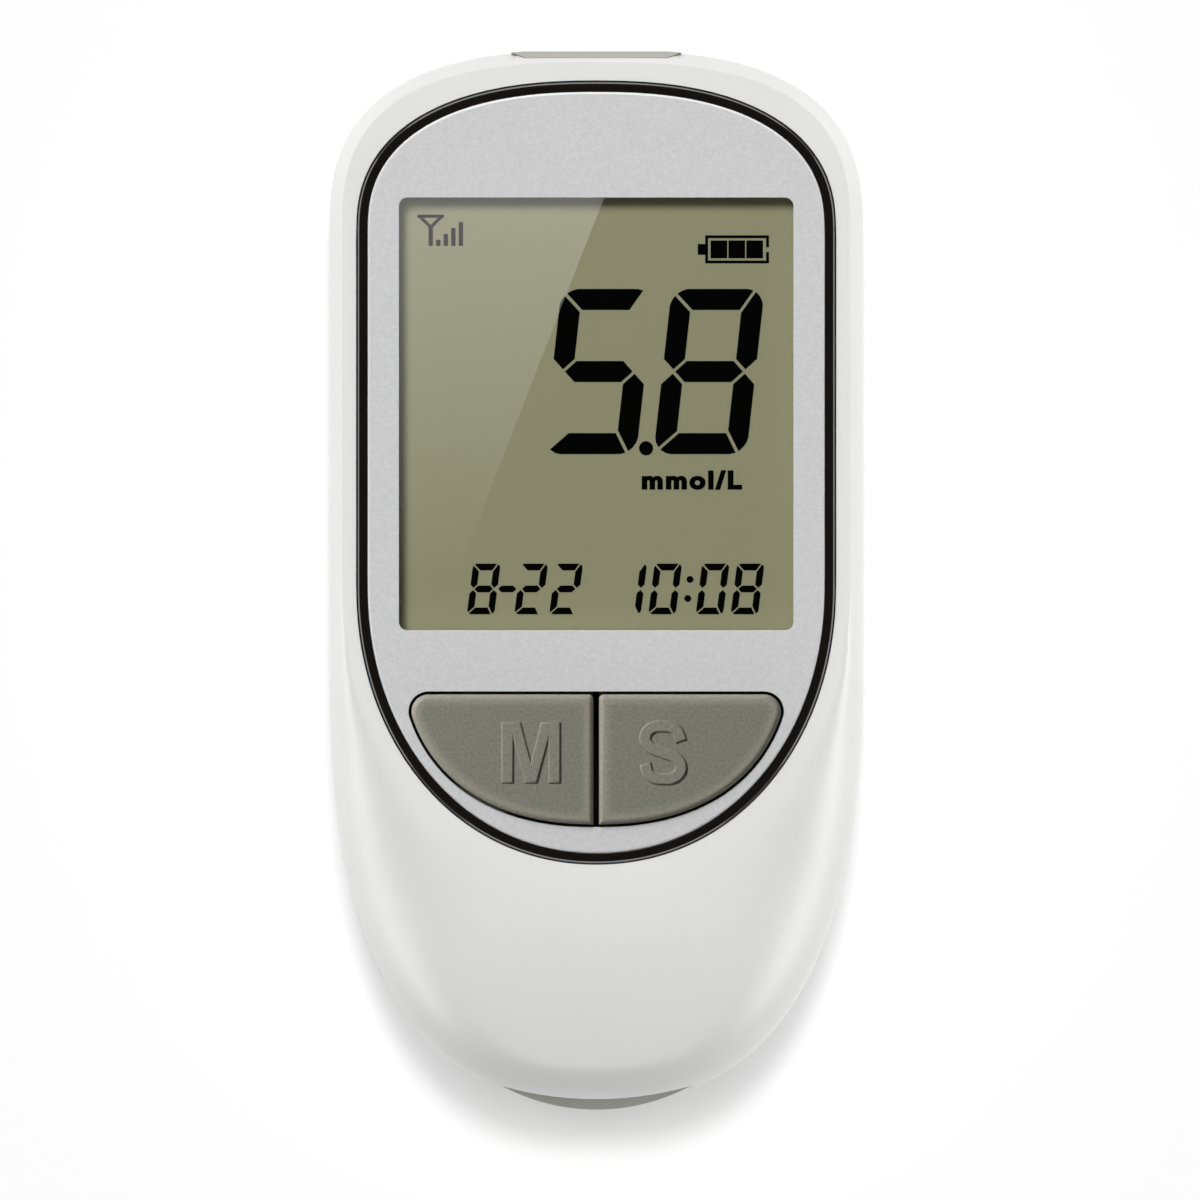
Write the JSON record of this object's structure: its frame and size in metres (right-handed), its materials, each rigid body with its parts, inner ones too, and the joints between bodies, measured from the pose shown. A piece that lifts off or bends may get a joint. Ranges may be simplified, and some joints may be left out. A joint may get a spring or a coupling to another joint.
{
  "type": "blood glucose meter",
  "caption": "Hand-held test strip meter: white casing, silver faceplate in a black ring, display window, soft keys, strip port and a sliding battery door.",
  "frame": {"origin": "below the middle of the box, on the plane that the flat back rests on", "axes": "+Z out of the display, +Y along the meter towards the test strip port, +X to the right of the display"},
  "size_m": [0.056, 0.1111, 0.024],
  "materials": {
    "shell_white": "fine satin moulded ABS, white",
    "port_grey": "fine matt moulded ABS, pale warm grey",
    "ring_black": "high gloss black, with a smoky chamfer",
    "faceplate_silver": "satin silver paint with a very fine grain",
    "window_clear": "clear polished acrylic",
    "foam_black": "closed cell foam",
    "lcd_glass": "polished glass",
    "lcd_film": "polariser film, greenish grey",
    "frame_grey": "plain moulded plastic",
    "key_silicone": "soft translucent grey silicone, fine matt",
    "zebra_pink": "layered silicone",
    "board_green": "glass fibre board with green solder mask",
    "chip_black": "moulded epoxy",
    "can_steel": "bright tinned can",
    "part_ceramic": "fired ceramic and moulded resin",
    "buzzer_black": "moulded plastic",
    "contact_gold": "gold plated spring strip",
    "contact_nickel": "nickel plated spring steel",
    "cell_sleeve": "plain coloured sleeve on a can",
    "screw_steel": "zinc plated steel"
  },
  "bodies": {
    "housing": {"front_shell": "shell_white", "rear_cover": "shell_white", "trim_ring": "ring_black", "faceplate": "faceplate_silver", "display_window": "window_clear", "window_gasket": "foam_black", "lcd_glass": "lcd_glass", "lcd_polariser": "lcd_film", "lcd_reflector": "lcd_film", "lcd_holder": "frame_grey", "zebra_connector": "zebra_pink", "keypad_mat": "key_silicone", "key_domes": "can_steel", "main_board": "board_green", "processor": "chip_black", "memory_chip": "chip_black", "clock_crystal": "can_steel", "supply_capacitor": "part_ceramic", "radio_module": "can_steel", "antenna": "part_ceramic", "buzzer": "buzzer_black", "strip_port": "port_grey", "strip_connector": "chip_black", "strip_contacts": "contact_gold", "battery_1": "cell_sleeve", "battery_2": "cell_sleeve", "battery_bridge": "contact_nickel", "contact_plus": "contact_nickel", "contact_minus": "contact_nickel", "housing_screws": "screw_steel", "board_screws": "screw_steel"},
    "key_m": {"key_m": "key_silicone"},
    "key_s": {"key_s": "key_silicone"},
    "battery_door": {"battery_door": "port_grey"}
  },
  "joints": [
    {"name": "key_m_press", "type": "slide", "parent": "housing", "child": "key_m", "axis": [0, 0, -1], "range_m": [0, 0.0006], "stiffness_N_per_m": 1500},
    {"name": "key_s_press", "type": "slide", "parent": "housing", "child": "key_s", "axis": [0, 0, -1], "range_m": [0, 0.0006], "stiffness_N_per_m": 1500},
    {"name": "battery_door_slide", "type": "slide", "parent": "housing", "child": "battery_door", "axis": [0, -1, 0], "range_m": [0, 0.06]}
  ]
}
